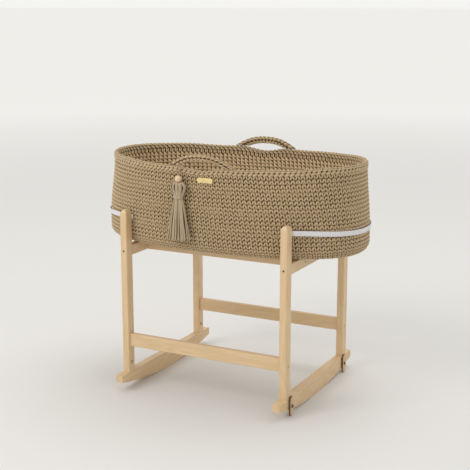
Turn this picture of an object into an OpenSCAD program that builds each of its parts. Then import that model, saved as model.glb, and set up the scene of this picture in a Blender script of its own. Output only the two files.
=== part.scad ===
// Oval crochet sleeping basket resting in a rocking timber stand.
// X runs along the basket, Y across it and Z up. The origin is on the floor under the middle.

/* [Stand] */
// Length over the posts, along X
stand_length = 520; // [500:1:540]
// Depth over the posts, along Y
stand_depth = 446; // [446:1:460]
// Post size along X
post_w = 21; // [20:0.5:24]
// Post size along Y
post_d = 30; // [28:1:30]
// Height of the post tops above the floor
post_top = 530; // [526:1:540]
// Chamfer along the timber's long edges
edge_ease = 1.5; // [0.5:0.25:2.5]

/* [Rails] */
// Height of the rails that carry the basket
rail_h = 30; // [28:1:34]
// Underside of those rails above the floor
rail_under = 396; // [392:1:400]
// Distance of the long rails' outer faces from the middle
long_rail_y = 111; // [90:1:125]
// Thickness of the long rails
long_rail_t = 20; // [18:1:24]
// Height of the lower stretchers
stretcher_h = 38; // [34:1:44]
// Thickness of the lower stretchers
stretcher_t = 16; // [14:1:20]
// Underside of the stretchers above the floor
stretcher_under = 128; // [115:1:140]

/* [Rockers] */
// Length of each rocker, along Y
rocker_length = 524; // [510:1:540]
// Width of each rocker, along X
rocker_w = 23; // [22:0.5:26]
// Height of a rocker at its middle
rocker_h = 50; // [48:1:52]
// Height of a rocker at its ends
rocker_end_h = 20; // [18:1:24]

/* [Stoppers] */
// Width of the oval stoppers
stopper_w = 22; // [18:1:24]
// Thickness of the stoppers
stopper_t = 5; // [4:0.5:6]
// Height of the stopper pivots above the floor
stopper_z = 28; // [26:1:30]
// Distance of the stopper pivots from the middle
stopper_y = 195; // [185:1:205]

/* [Straps] */
// Width of the webbing
strap_h = 14; // [12:1:16]
// Thickness of the webbing
strap_t = 2; // [1.5:0.25:2.5]
// Height of the webbing's middle line at the posts
strap_z = 508; // [500:1:512]
// How far the webbing sinks towards the basket's end
strap_drop = 11; // [5:1:14]

/* [Basket] */
// Length of the rim
rim_length = 768; // [740:2:790]
// Width of the wall low down
side_width = 448; // [430:2:450]
// How much each long side leans out on its way up to the rim
side_flare = 4; // [0:1:10]
// Squareness of the oval in plan: 2 is an ellipse, larger is squarer
oval_power = 2.2; // [2:0.05:2.2]
// Height of the basket at its middle
basket_h = 245; // [240:1:250]
// Rise of the rim towards its two ends
rim_rise = 8; // [4:1:12]
// How far the lower wall stands out beyond the rim at the right end
belly_right = 12; // [8:1:16]
// How far the lower wall stands out beyond the rim at the left end
belly_left = 20; // [12:1:22]
// How far the base is set in from the wall at the ends
end_foot = 24; // [18:1:28]
// How far the base is set in from the wall at the long sides
side_foot = 44; // [30:1:50]
// Height of the rounding between wall and base
foot_h = 28; // [20:1:34]
// Thickness of the crochet wall and base
wall_t = 9; // [7:0.5:11]
// Height of the rim band
rim_h = 17; // [14:1:20]
// Thickness of the rim band
rim_t = 12; // [10:0.5:14]

/* [Handles] */
// Length of a handle over its feet
handle_span = 206; // [190:2:220]
// Height of a handle above the rim
handle_rise = 33; // [30:1:38]
// Length of the front hand opening at the rim (mm)
slot_span = 134; // [110:2:140]
// Height of the front opening's top above the rim (mm)
slot_h = 16; // [12:1:18]
// Length of the back hand opening at the rim, which has the broader band (mm)
back_slot_span = 112; // [104:2:140]
// Height of the back opening above the rim (mm)
back_slot_h = 10; // [8:1:18]
// How far the rim dips below the hand slot
slot_dip = 10; // [6:1:12]
// Thickness of a handle
handle_t = 13; // [10:0.5:14]
// Middle of the front handle along X
handle_x_front = 3; // [-5:1:5]
// Middle of the back handle along X
handle_x_back = -14; // [-20:1:5]

/* [Tassel and label] */
// Place of the tassel along X
tassel_x = -57; // [-110:1:-50]
// Distance of the tassel's middle in front of the basket's centre plane
tassel_y = 241; // [240:0.5:243]
// Height of the tassel's pivot above the floor
tassel_pivot_z = 661; // [659.5:0.5:663]
// Diameter of the wooden bead
bead_d = 19; // [16:0.5:20]
// Width of the tassel's skirt at the bottom
skirt_w = 70; // [60:1:76]
// Height of the skirt's lower edge above the floor
skirt_low = 463; // [455:1:475]
// Length of the label plate
label_w = 46; // [40:1:50]
// Height of the label plate
label_h = 14; // [12:0.5:16]
// Place of the label along X
label_x = 18; // [10:1:30]
// Height of the label's middle above the floor
label_z = 636; // [630:1:638]

/* [Mattress] */
// Length of the mattress
mattress_length = 734; // [700:2:736]
// Width of the mattress
mattress_width = 398; // [380:2:400]
// Thickness of the mattress
mattress_h = 40; // [30:1:50]
// Thickness of the stiffening board under it
board_t = 4; // [3:0.5:5]

/* [Hidden] */

$fn = 64;
timber = [0.87, 0.75, 0.58];
plywood = [0.82, 0.67, 0.46];
steel = [0.70, 0.70, 0.72];
webbing = [0.94, 0.92, 0.94];
crochet = [0.62, 0.52, 0.38];
gilt = [0.88, 0.78, 0.51];
linen = [0.93, 0.91, 0.87];

// Clearance of a shank or dowel in its drilled hole, all round
slack = 0.05;
// Gap left between crochet pieces that lie on one another
soft_gap = 0.1;
// How far a cutting tool passes beyond the face that it opens
past = 1;

post_x = stand_length / 2 - post_w / 2;
post_y = stand_depth / 2 - post_d / 2;
post_in_x = post_x - post_w / 2;
post_in_y = post_y - post_d / 2;
post_out_x = stand_length / 2;
post_out_y = stand_depth / 2;
top_cut_side = 6;
top_cut_down = 9;

rail_mid = rail_under + rail_h / 2;
rail_top = rail_under + rail_h;
long_rail_mid_y = long_rail_y - long_rail_t / 2;
stretcher_mid = stretcher_under + stretcher_h / 2;

rocker_rise = rocker_h - rocker_end_h;
rocker_r = (pow(rocker_length / 2, 2) + pow(rocker_rise, 2)) / (2 * rocker_rise);
rocker_face = post_x + rocker_w / 2;

// Rocker bolts and their cross nuts
bolt_r = 3;
bolt_head_r = 5.5;
bolt_head_h = 5;
bolt_seat_z = 29;
bolt_end_z = 86;
nut_r = 5;
nut_length = 12;
nut_z = 79;

// Rail screws, with their heads sunk below the surface
screw_r = 2.2;
screw_head_r = 3.1;
screw_head_h = 3;
screw_sink = 6;
rail_screw_bite = 36;
stretcher_screw_z = stretcher_mid - 5;

// Dowels that stop a rail turning about its screw
dowel_r = 3;
dowel_half = 11;
rail_dowel_z = rail_mid - 8.5;
stretcher_dowel_z = stretcher_mid + 9;

// Strap screws
strap_screw_r = 1.7;
strap_screw_head_r = 4;
strap_screw_head_h = 1.5;
strap_screw_bite = 16;
strap_face_y = post_in_y - strap_t;
strap_tail = 4;

// Stopper pivots
pivot_r = 2.5;
pivot_head_r = 4.5;
pivot_head_h = 2.6;
pivot_bite = 18;
washer_r = 6;
washer_t = 1;
stopper_face = rocker_face + washer_t + slack;

// Basket shape
basket_z = rail_top + soft_gap;
belly_low = 0.11;
oval_steps = 96;
foot_steps = 5;
wall_steps = 7;
rim_corner = 4;
handle_power = 2.4;
handle_ease = 1.15;
dip_reach = slot_span / 2 + 15;
dip_depth = 60;
slot_power = 2.4;
rim_out = (rim_t - wall_t) / 2;

// Tassel pieces, from the top down
cord_r = 1.9;
stitch_r = 2;
bead_z = tassel_pivot_z - 24;
head_w = 44;
head_d = 22;
head_h = 34;
head_top = bead_z - bead_d / 2 - 1.5;
tie_top = head_top - 31;
tie_h = 14;
tie_w = 28;
tie_d = 19;
skirt_top = tie_top - tie_h;
skirt_d = 26;

// Label fixing
plate_t = 1.2;
rivet_r = 1;
rivet_head_r = 2;
rivet_head_h = 0.8;
rivet_inset = 4;

// ---------- Placing ----------

module flip_x(on) {
    if (on)
        mirror([1, 0, 0]) children();
    else
        children();
}

module flip_y(on) {
    if (on)
        mirror([0, 1, 0]) children();
    else
        children();
}

// The four corners of the stand, from one drawn at +X +Y
module at_corners() {
    for (left = [false, true], front = [false, true])
        flip_x(left) flip_y(front) children();
}

// A round bar from the point at, along X, Y or Z
module bar_x(at, length, r) {
    translate(at) rotate([0, 90, 0]) cylinder(h = length, r = r);
}

module bar_y(at, length, r) {
    translate(at) rotate([-90, 0, 0]) cylinder(h = length, r = r);
}

module bar_z(at, length, r) {
    translate(at) cylinder(h = length, r = r);
}

// ---------- Timber ----------

module eased_rect(w, d, ease) {
    polygon([
        [-w / 2 + ease, -d / 2], [w / 2 - ease, -d / 2],
        [w / 2, -d / 2 + ease], [w / 2, d / 2 - ease],
        [w / 2 - ease, d / 2], [-w / 2 + ease, d / 2],
        [-w / 2, d / 2 - ease], [-w / 2, -d / 2 + ease]
    ]);
}

// A profile with its two top corners cut off, standing on z = 0
module cut_top_profile(w, h) {
    polygon([
        [-w / 2, 0], [w / 2, 0], [w / 2, h - top_cut_down],
        [w / 2 - top_cut_side, h], [-w / 2 + top_cut_side, h],
        [-w / 2, h - top_cut_down]
    ]);
}

module post_blank() {
    height = post_top - rocker_h;
    translate([post_x, post_y, rocker_h])
        intersection() {
            linear_extrude(height) eased_rect(post_w, post_d, edge_ease);
            rotate([90, 0, 0])
                linear_extrude(2 * post_d, center = true) cut_top_profile(post_w, height);
            rotate([90, 0, 90])
                linear_extrude(2 * post_w, center = true) cut_top_profile(post_d, height);
        }
}

module post() {
    difference() {
        post_blank();
        rocker_bolt(slack);
        barrel_nut_hole();
        cross_rail_screw(slack);
        cross_rail_dowel(slack);
        stretcher_screw(slack);
        stretcher_dowel(slack);
        strap_screw(slack);
    }
}

// A rail along Y between a front and a back post
module cross_rail() {
    color(timber) difference() {
        translate([post_x, 0, rail_mid]) rotate([90, 0, 0])
            linear_extrude(2 * post_in_y, center = true) eased_rect(post_w, rail_h, edge_ease);
        for (front = [false, true]) flip_y(front) {
            cross_rail_screw(slack);
            cross_rail_dowel(slack);
            long_rail_screw(slack);
            long_rail_dowel(slack);
        }
    }
}

// A rail along X between the two cross rails
module long_rail() {
    color(timber) difference() {
        translate([0, long_rail_mid_y, rail_mid]) rotate([90, 0, 90])
            linear_extrude(2 * post_in_x, center = true) eased_rect(long_rail_t, rail_h, edge_ease);
        for (left = [false, true]) flip_x(left) {
            long_rail_screw(slack);
            long_rail_dowel(slack);
        }
    }
}

// A lower rail along X between a left and a right post
module stretcher() {
    color(timber) difference() {
        translate([0, post_y, stretcher_mid]) rotate([90, 0, 90])
            linear_extrude(2 * post_in_x, center = true) eased_rect(stretcher_t, stretcher_h, edge_ease);
        for (left = [false, true]) flip_x(left) {
            stretcher_screw(slack);
            stretcher_dowel(slack);
        }
    }
}

// Side view of a rocker: flat on top, one arc below
function rocker_under(y) = rocker_r - sqrt(pow(rocker_r, 2) - pow(y, 2));
module rocker_profile() {
    steps = 48;
    half = rocker_length / 2;
    arc = [for (i = [0:steps]) let (y = -half + rocker_length * i / steps) [y, rocker_under(y)]];
    polygon(concat(arc, [[half, rocker_h], [-half, rocker_h]]));
}

module rocker(with_stoppers) {
    color(timber) difference() {
        intersection() {
            translate([post_x, 0, 0]) rotate([90, 0, 90])
                linear_extrude(rocker_w, center = true) rocker_profile();
            translate([post_x, 0, 0]) linear_extrude(rocker_h)
                eased_rect(rocker_w, rocker_length, edge_ease);
        }
        for (front = [false, true]) flip_y(front) {
            rocker_bolt(slack);
            bar_z([post_x, post_y, -past], bolt_seat_z + past, bolt_head_r + 0.5);
            if (with_stoppers)
                stopper_screw(slack);
        }
    }
}

// ---------- Fasteners, drawn at the +X +Y corner; with a gap they are the holes ----------

module rocker_bolt(gap) {
    bar_z([post_x, post_y, bolt_seat_z - gap], bolt_end_z - bolt_seat_z + 2 * gap, bolt_r + gap);
    if (gap == 0)
        bar_z([post_x, post_y, bolt_seat_z - bolt_head_h], bolt_head_h, bolt_head_r);
}

module barrel_nut() {
    difference() {
        bar_x([post_x - nut_length / 2, post_y, nut_z], nut_length, nut_r);
        rocker_bolt(slack);
    }
}

module barrel_nut_hole() {
    deep = post_w / 2 + nut_length / 2 + past + slack;
    bar_x([post_in_x - past, post_y, nut_z], deep, nut_r + slack);
}

// A sunk screw along -Y; its shank starts at the seat and ends at the bite
module sunk_screw_y(x, z, face, end, gap) {
    seat = face - screw_sink;
    bar_y([x, end - gap, z], seat - end + gap, screw_r + gap);
    if (gap > 0)
        bar_y([x, seat, z], screw_sink + past, screw_head_r + gap);
    else
        bar_y([x, seat, z], screw_head_h, screw_head_r);
}

// The same screw along -X
module sunk_screw_x(y, z, face, end, gap) {
    seat = face - screw_sink;
    bar_x([end - gap, y, z], seat - end + gap, screw_r + gap);
    if (gap > 0)
        bar_x([seat, y, z], screw_sink + past, screw_head_r + gap);
    else
        bar_x([seat, y, z], screw_head_h, screw_head_r);
}

module cross_rail_screw(gap) {
    sunk_screw_y(post_x, rail_mid, post_out_y, post_in_y - rail_screw_bite, gap);
}

module long_rail_screw(gap) {
    sunk_screw_x(long_rail_mid_y, rail_mid, post_out_x, post_in_x - rail_screw_bite, gap);
}

module stretcher_screw(gap) {
    sunk_screw_x(post_y, stretcher_screw_z, post_out_x, post_in_x - rail_screw_bite, gap);
}

module cross_rail_dowel(gap) {
    bar_y([post_x, post_in_y - dowel_half - gap, rail_dowel_z], 2 * (dowel_half + gap), dowel_r + gap);
}

module long_rail_dowel(gap) {
    bar_x([post_in_x - dowel_half - gap, long_rail_mid_y, rail_dowel_z], 2 * (dowel_half + gap), dowel_r + gap);
}

module stretcher_dowel(gap) {
    bar_x([post_in_x - dowel_half - gap, post_y, stretcher_dowel_z], 2 * (dowel_half + gap), dowel_r + gap);
}

module strap_screw(gap) {
    bar_y([post_x, strap_face_y - gap, strap_z], strap_t + strap_screw_bite + 2 * gap, strap_screw_r + gap);
    if (gap == 0)
        bar_y([post_x, strap_face_y - strap_screw_head_h, strap_z], strap_screw_head_h, strap_screw_head_r);
}

module stopper_screw(gap) {
    shank_end = stopper_face + stopper_t + slack;
    bar_x([rocker_face - pivot_bite - gap, stopper_y, stopper_z], shank_end - rocker_face + pivot_bite, pivot_r + gap);
    if (gap == 0)
        bar_x([shank_end, stopper_y, stopper_z], pivot_head_h, pivot_head_r);
}

// ---------- Stoppers ----------

// An oval of plywood that stands on its lower tip when locked
module stopper() {
    reach = stopper_z - stopper_w / 2;
    color(plywood) translate([stopper_face, stopper_y, stopper_z]) rotate([90, 0, 90])
        difference() {
            linear_extrude(stopper_t) union() {
                square([stopper_w, 2 * reach], center = true);
                for (end = [-1, 1])
                    translate([0, end * reach]) circle(d = stopper_w);
            }
            translate([0, 0, -past]) cylinder(h = stopper_t + 2 * past, r = pivot_r + slack);
        }
}

module stopper_washer() {
    translate([rocker_face, stopper_y, stopper_z]) rotate([0, 90, 0])
        difference() {
            cylinder(h = washer_t, r = washer_r);
            translate([0, 0, -past]) cylinder(h = washer_t + 2 * past, r = pivot_r + slack);
        }
}

// ---------- Basket shape, as functions of height ----------

// Fraction of the height above the foot's rounding; the plan shape is constant below it
function climb(h) = max(0, (h - foot_h) / (basket_h - foot_h));

// How far the ends stand out beyond the rim: full low down, fading to nothing at the rim
function swell(t) = t < belly_low ? 1 : (1 + cos(180 * (t - belly_low) / (1 - belly_low))) / 2;

// Half lengths as a pair: from the middle to the right end and to the left end
function half_lengths(t) = [rim_length / 2 + belly_right * swell(t), rim_length / 2 + belly_left * swell(t)];
function half_width(t) = side_width / 2 + side_flare * t;
function rise(x) = rim_rise * pow(x / (rim_length / 2), 2);

// Dip of the rim and the rows just below it under each handle
function dip(x, y) = let (r = abs(x - (y < 0 ? handle_x_front : handle_x_back)) / dip_reach)
    r < 1 ? slot_dip * pow(cos(90 * r), 2) : 0;
function dip_share(h) = pow(max(0, (h - basket_h + dip_depth) / dip_depth), 1.5);

// Plan outline: an oval given by its pair of half lengths and its half width, anticlockwise from the +X end
function oval_point(a, b, angle) = [
    (cos(angle) < 0 ? a[1] : a[0]) * sign(cos(angle)) * pow(abs(cos(angle)), 2 / oval_power),
    b * sign(sin(angle)) * pow(abs(sin(angle)), 2 / oval_power)
];
function oval(a, b) = [for (i = [0:oval_steps - 1]) oval_point(a, b, 360 * i / oval_steps)];
function base_oval(inset) = oval(
    [for (a = half_lengths(0)) a - end_foot - inset],
    half_width(0) - side_foot - inset
);

// One ring of the wall, from its insets at the ends and sides and its height
function ring(end_in, side_in, h) = let (t = climb(h)) [
    for (p = oval([for (a = half_lengths(t)) a - end_in], half_width(t) - side_in))
        [p[0], p[1], basket_z + h + rise(p[0]) * h / basket_h - dip(p[0], p[1]) * dip_share(h)]
];

// Outer face of the front wall at a place along X, as a distance in front of the centre plane
function front_face(x, h) = let (t = climb(h))
    half_width(t) * pow(1 - pow(abs(x) / half_lengths(t)[x < 0 ? 1 : 0], oval_power), 1 / oval_power);
// Top of the rim at a place along X, without its dips
function rim_top(x) = basket_z + basket_h + rise(x);

// A closed tube of rings, the last joined back to the first
module ring_solid(profile) {
    rings = [for (p = profile) ring(p[0], p[1], p[2])];
    n = len(rings[0]);
    m = len(rings);
    polyhedron(
        points = [for (r = rings) for (p = r) p],
        faces = [
            for (j = [0:m - 1], i = [0:n - 1])
                let (a = j * n + i, b = j * n + (i + 1) % n, c = ((j + 1) % m) * n + (i + 1) % n, d = ((j + 1) % m) * n + i)
                    each [[a, c, b], [a, d, c]]
        ]
    );
}

// A bar of n four-cornered sections, closed by the first and the last
module swept(points, n) {
    polyhedron(points = points, faces = concat(
        [[0, 1, 2, 3]],
        [for (i = [0:n - 2], k = [0:3]) let (a = 4 * i + k, b = 4 * i + (k + 1) % 4) each [[a, a + 4, b + 4], [a, b + 4, b]]],
        [[4 * n - 1, 4 * n - 2, 4 * n - 3, 4 * n - 4]]
    ));
}

// ---------- Basket pieces ----------

module basket_wall() {
    top = basket_h - rim_h - soft_gap;
    in_end = end_foot - wall_t;
    in_side = side_foot - wall_t;
    in_h = foot_h - wall_t;
    turns = [for (i = [0:foot_steps]) 90 * i / foot_steps];
    outer_foot = [for (a = turns) [end_foot * (1 - sin(a)), side_foot * (1 - sin(a)), foot_h * (1 - cos(a))]];
    outer_wall = [for (i = [1:wall_steps]) [0, 0, foot_h + (top - foot_h) * i / wall_steps]];
    inner_wall = [for (i = [wall_steps:-1:1]) [wall_t, wall_t, foot_h + (top - foot_h) * i / wall_steps]];
    inner_foot = [for (a = turns) [wall_t + in_end * (1 - cos(a)), wall_t + in_side * (1 - cos(a)), foot_h - in_h * sin(a)]];
    color(crochet) ring_solid(concat(outer_foot, outer_wall, inner_wall, inner_foot));
}

module basket_base() {
    color(crochet) translate([0, 0, basket_z])
        linear_extrude(wall_t) polygon(base_oval(soft_gap));
}

// A rounded band along the top of the wall, a little thicker than it
module rim_band() {
    in = rim_t - rim_out;
    low = basket_h - rim_h;
    c = rim_corner;
    section = [
        [c - rim_out, low], [-rim_out, low + c], [-rim_out, basket_h - c], [c - rim_out, basket_h],
        [in - c, basket_h], [in, basket_h - c], [in, low + c], [in - c, low]
    ];
    color(crochet) ring_solid([for (p = section) [p[0], p[0], p[1]]]);
}

// An arch that stands on the rim round x = middle, follows its curve and leaves a slot for the hand
function arch(u, height, power, ease) = height * pow(1 - pow(abs(2 * u - 1), power), ease);
function handle_point(middle, u, span, side, up) = let (
    x = middle + span * (u - 0.5),
    y = front_face(x, basket_h) - wall_t / 2 + side * handle_t / 2
) [x, y, rim_top(x) + soft_gap + up];
module handle(middle, span, opening) {
    steps = 24;
    points = [
        for (i = [0:steps])
            let (
                u = i / steps,
                outer = arch(u, handle_rise, handle_power, handle_ease),
                inner = arch(u, opening, slot_power, 1)
            )
            each [
                handle_point(middle, u, handle_span, -1, outer), handle_point(middle, u, handle_span, 1, outer),
                handle_point(middle, u, span, 1, inner), handle_point(middle, u, span, -1, inner)
            ]
    ];
    color(crochet) swept(points, steps + 1);
}

module base_board() {
    color(plywood) translate([0, 0, basket_z + wall_t + soft_gap])
        linear_extrude(board_t) polygon(base_oval(3));
}

// A little smaller than the rim's inner outline, so that it lifts straight out
module mattress() {
    color(linen) translate([0, 0, basket_z + wall_t + board_t + 3 * soft_gap])
        linear_extrude(mattress_h) polygon(oval([mattress_length / 2, mattress_length / 2], mattress_width / 2));
}

// ---------- Label ----------

// Puts a piece drawn in the XY plane, facing +Z, on the front wall at the label's place
module on_label() {
    h = label_z - basket_z;
    lean = atan((front_face(label_x, h + 5) - front_face(label_x, h - 5)) / 10);
    translate([label_x, -front_face(label_x, h) - 3 * soft_gap, label_z])
        rotate([90 + lean, 0, 0]) children();
}

module label_plate() {
    color(gilt) on_label() difference() {
        linear_extrude(plate_t) eased_rect(label_w, label_h, 2 * edge_ease);
        for (end = [-1, 1])
            translate([end * (label_w / 2 - rivet_inset), 0, -past])
                cylinder(h = plate_t + 2 * past, r = rivet_r + slack);
    }
}

module label_rivets() {
    color(gilt) on_label() for (end = [-1, 1])
        translate([end * (label_w / 2 - rivet_inset), 0, 0]) {
            cylinder(h = plate_t, r = rivet_r);
            translate([0, 0, plate_t]) cylinder(h = rivet_head_h, r = rivet_head_r);
        }
}

// ---------- Tassel ----------

module at_tassel(z) {
    translate([tassel_x, -tassel_y, z]) children();
}

// The sewn stitch that the tassel's loop hangs on
module tassel_stitch() {
    h = tassel_pivot_z - basket_z;
    wall_y = front_face(tassel_x, h + stitch_r) + rim_out + soft_gap;
    color(crochet)
        bar_y([tassel_x, -tassel_y - 4, tassel_pivot_z], tassel_y + 4 - wall_y, stitch_r);
}

// A ring round the stitch and a straight cord down to the head
module tassel_loop() {
    ring_r = stitch_r + slack + cord_r;
    color(crochet) union() {
        at_tassel(tassel_pivot_z) rotate([90, 0, 0])
            rotate_extrude() translate([ring_r, 0]) circle(r = cord_r);
        at_tassel(head_top) cylinder(h = tassel_pivot_z - ring_r - head_top, r = cord_r);
    }
}

module tassel_bead() {
    color(timber) at_tassel(bead_z) difference() {
        sphere(d = bead_d);
        translate([0, 0, -bead_d]) cylinder(h = 2 * bead_d, r = cord_r + slack);
    }
}

module tassel_head() {
    color(crochet) at_tassel(tie_top + soft_gap) intersection() {
        translate([0, 0, head_top - tie_top - head_h / 2 - 2 * soft_gap])
            scale([head_w / head_h, head_d / head_h, 1]) sphere(d = head_h);
        translate([-head_w, -head_d, 0]) cube([2 * head_w, 2 * head_d, 2 * head_h]);
    }
}

module tassel_tie() {
    color(crochet) at_tassel(skirt_top) scale([1, tie_d / tie_w, 1]) cylinder(h = tie_h, d = tie_w);
}

module tassel_skirt() {
    h = skirt_top - skirt_low - soft_gap;
    color(crochet) at_tassel(skirt_low) scale([1, skirt_d / skirt_w, 1])
        cylinder(h = h, d1 = skirt_w, d2 = tie_w);
}

// ---------- Straps ----------

// Plan line of a strap: straight off the post, then round the basket's end from where it touches
strap_steps = 24;
strap_gap = 1 + strap_t / 2;
strap_line_y = post_in_y - strap_t / 2;
strap_leave = [post_out_x + 2, strap_line_y];
function strap_out(end) = half_lengths(0)[end] + strap_gap;
function strap_half(tail, end) = let (
    around = [
        for (i = [0:strap_steps])
            oval_point([strap_out(end), 0], half_width(0) + strap_gap, 48 * (1 - i / strap_steps))
    ],
    slopes = [for (p = around) atan2(p[1] - strap_leave[1], p[0] - strap_leave[0])],
    touch = search(max(slopes), slopes)[0]
) concat(
    [[post_in_x - tail, strap_line_y], [post_x, strap_line_y], strap_leave],
    [for (i = [touch:strap_steps]) around[i]]
);
function strap_path(tail, end) = let (back = strap_half(tail, end), n = len(back))
    concat(back, [for (i = [n - 1:-1:0]) [back[i][0], -back[i][1]]]);

// Height of the strap's middle line: level at the posts, lowest at the basket's end
function strap_height(p, end) = strap_z - strap_drop * max(0, (p[0] - strap_leave[0]) / (strap_out(end) - strap_leave[0]));

// Sideways direction of the path at a point, pointing away from the basket
function strap_side(path, i) = let (
    d = path[min(i + 1, len(path) - 1)] - path[max(i - 1, 0)]
) [-d[1], d[0]] / norm(d);

// Drawn at the +X side; end 0 fits the basket's right end and end 1 its left end
module strap(tail, end) {
    path = strap_path(tail, end);
    n = len(path);
    points = [
        for (i = [0:n - 1]) let (p = path[i], s = strap_side(path, i) * strap_t / 2, z = strap_height(p, end))
            each [
                [p[0] - s[0], p[1] - s[1], z - strap_h / 2], [p[0] + s[0], p[1] + s[1], z - strap_h / 2],
                [p[0] + s[0], p[1] + s[1], z + strap_h / 2], [p[0] - s[0], p[1] - s[1], z + strap_h / 2]
            ]
    ];
    color(webbing) difference() {
        swept(points, n);
        for (front = [false, true]) flip_y(front) strap_screw(slack);
    }
}

// ---------- Nodes ----------

color(timber) flip_x(true) flip_y(true) post();  // post_front_left
color(timber) flip_y(true) post();  // post_front_right
color(timber) flip_x(true) post();  // post_back_left
color(timber) post();  // post_back_right
flip_x(true) cross_rail();  // cross_rail_left
cross_rail();  // cross_rail_right
flip_y(true) long_rail();  // long_rail_front
long_rail();  // long_rail_back
flip_y(true) stretcher();  // stretcher_front
stretcher();  // stretcher_back
flip_x(true) rocker(false);  // rocker_left
rocker(true);  // rocker_right
color(steel) at_corners() rocker_bolt(0);  // rocker_bolts
color(steel) at_corners() barrel_nut();  // barrel_nuts
color(steel) at_corners() cross_rail_screw(0);  // cross_rail_screws
color(steel) at_corners() long_rail_screw(0);  // long_rail_screws
color(steel) at_corners() stretcher_screw(0);  // stretcher_screws
color(timber) at_corners() {  // dowels
    cross_rail_dowel(0);
    long_rail_dowel(0);
    stretcher_dowel(0);
}
flip_x(true) strap(strap_tail, 1);  // strap_left
strap(-strap_t, 0);  // strap_right
color(steel) at_corners() strap_screw(0);  // strap_screws
flip_y(true) stopper();  // stopper_front
stopper();  // stopper_back
color(steel) for (front = [false, true]) flip_y(front) stopper_screw(0);  // stopper_screws
color(steel) for (front = [false, true]) flip_y(front) stopper_washer();  // stopper_washers
basket_wall();
basket_base();
rim_band();
flip_y(true) handle(handle_x_front, slot_span, slot_h);  // handle_front
handle(handle_x_back, back_slot_span, back_slot_h);  // handle_back
base_board();
mattress();
label_plate();
label_rivets();
tassel_stitch();
tassel_loop();
tassel_bead();
tassel_head();
tassel_tie();
tassel_skirt();
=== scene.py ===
"""Crochet sleeping basket on a rocking timber stand: finished surfaces, light and camera.

Lengths inside the shape functions are millimetres; put() turns them into metres.
"""

import math

import bpy
import numpy as np
from mathutils import Matrix, Vector


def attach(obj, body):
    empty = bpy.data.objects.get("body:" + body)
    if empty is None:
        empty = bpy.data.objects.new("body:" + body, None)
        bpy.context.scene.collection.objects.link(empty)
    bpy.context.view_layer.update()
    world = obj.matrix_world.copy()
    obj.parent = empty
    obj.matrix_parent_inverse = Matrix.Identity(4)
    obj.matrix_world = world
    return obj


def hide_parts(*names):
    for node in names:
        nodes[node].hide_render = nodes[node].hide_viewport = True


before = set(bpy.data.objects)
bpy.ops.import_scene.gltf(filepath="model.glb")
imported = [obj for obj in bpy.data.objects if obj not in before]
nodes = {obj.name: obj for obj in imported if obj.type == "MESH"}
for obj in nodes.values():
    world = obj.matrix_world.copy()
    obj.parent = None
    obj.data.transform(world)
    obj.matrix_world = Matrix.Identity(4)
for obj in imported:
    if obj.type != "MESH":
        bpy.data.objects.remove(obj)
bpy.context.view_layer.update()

MM = 0.001
RNG = np.random.default_rng(7)

# Basket sizes, the same as the frame's
BASKET_Z = 426.1
BASKET_H = 245.0
RIM_HALF = 384.0
BELLY_RIGHT = 12.0
BELLY_LEFT = 20.0
BELLY_LOW = 0.11
SIDE_HALF = 224.0
SIDE_FLARE = 4.0
OVAL_POWER = 2.2
END_FOOT = 24.0
SIDE_FOOT = 44.0
FOOT_H = 28.0
FOOT_RUN = 5 * 11.07
RIM_RISE = 8.0
WALL_T = 9.0
RIM_T = 12.0
RIM_H = 17.0
HANDLE_FRONT = 3.0
HANDLE_BACK = -14.0
HANDLE_SPAN = 206.0
HANDLE_RISE = 33.0
SLOT_SPAN = 134.0
SLOT_H = 16.0
BACK_SLOT_SPAN = 112.0
BACK_SLOT_H = 10.0
SLOT_DIP = 10.0

# How far the dip reaches past an opening and down the wall, and from where the rows wander
DIP_PAST = 15.0
DIP_DEEP = 60.0
WANDER_FROM = 40.0
WANDER_OVER = 60.0

# Sections of the rim and the handles
RIM_R = 5.5
HANDLE_R = 9.0
HANDLE_HALF_T = 6.3
HANDLE_SINK = -5.5
HANDLE_LEAST = 1.5
HANDLE_POWER = 0.8
ARCH_POWER = 2.4
ARCH_EASE = 1.15

# Crochet gauge, and the rows of the wall, base and handles
STITCH = 14.3
ROW = 11.07
ROUND = 142
LEAN = -0.1
ROWS = 23
ROWS_PER_PIECE = 6
ROW_UP = 0.8
INNER_FROM = 30.0
INNER_LOW = 9
MID_WALL = 110.0
BASE_LEAN = 0.37
LEAST_HALF = 4.0
BASE_OUTER = 8
HANDLE_STITCHES = 14

# Dark core behind the stitches, a sheet painted with the shade seen between them: how far its skins lie
# below the face, its points round and its rings
CORE_OUT = -3.8
CORE_IN = -5.0
HANDLE_CORE_OUT = -3.6
CORE_ROUND = 220
RIM_CORE_RINGS = 22

# Tassel sizes
TASSEL = np.array([-57.0, -241.0, 0.0])
PIVOT_Z = 661.0
HEAD_TOP = 626.0
TIE_TOP = 595.0
SKIRT_TOP = 581.0
SKIRT_LOW = 463.0
STITCH_Y = -228.6
STITCH_LONG = 16.0
STITCH_T = 3.9
LOOP_CORD = (1.8, 1.8)
HEAD_CORDS = 10
HEAD_DEEP = 0.47
HEAD_CORD = (10.0, 5.0)
TIE_TURNS = 3.3
TIE_WIDE = 12.9
TIE_DEEP = 8.3
TIE_RUN = 9.8
TIE_CORD = (3.9, 2.6)
SKIRT_CORDS = 34
SKIRT_DEEP = 0.36
SKIRT_CORD = (5.2, 3.4)
GOLDEN_TURN = 0.381966

# Strap sizes
STRAP_Z = 508.0
STRAP_DROP = 11.0
STRAP_H = 14.0
STRAP_T = 2.0
POST_IN_X = 239.0
POST_X = 249.5
STRAP_Y = 192.0
STRAP_LEAVE_X = 262.0
STRAP_GAP = 2.0
SEW_FROM = 16
SEW_STEP = 2
SEW_COUNT = 4
SEW_APART = 4.2
SEW_OUT = 0.95
SEW_HALF = 1.5
SEW_T = 0.7

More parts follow.
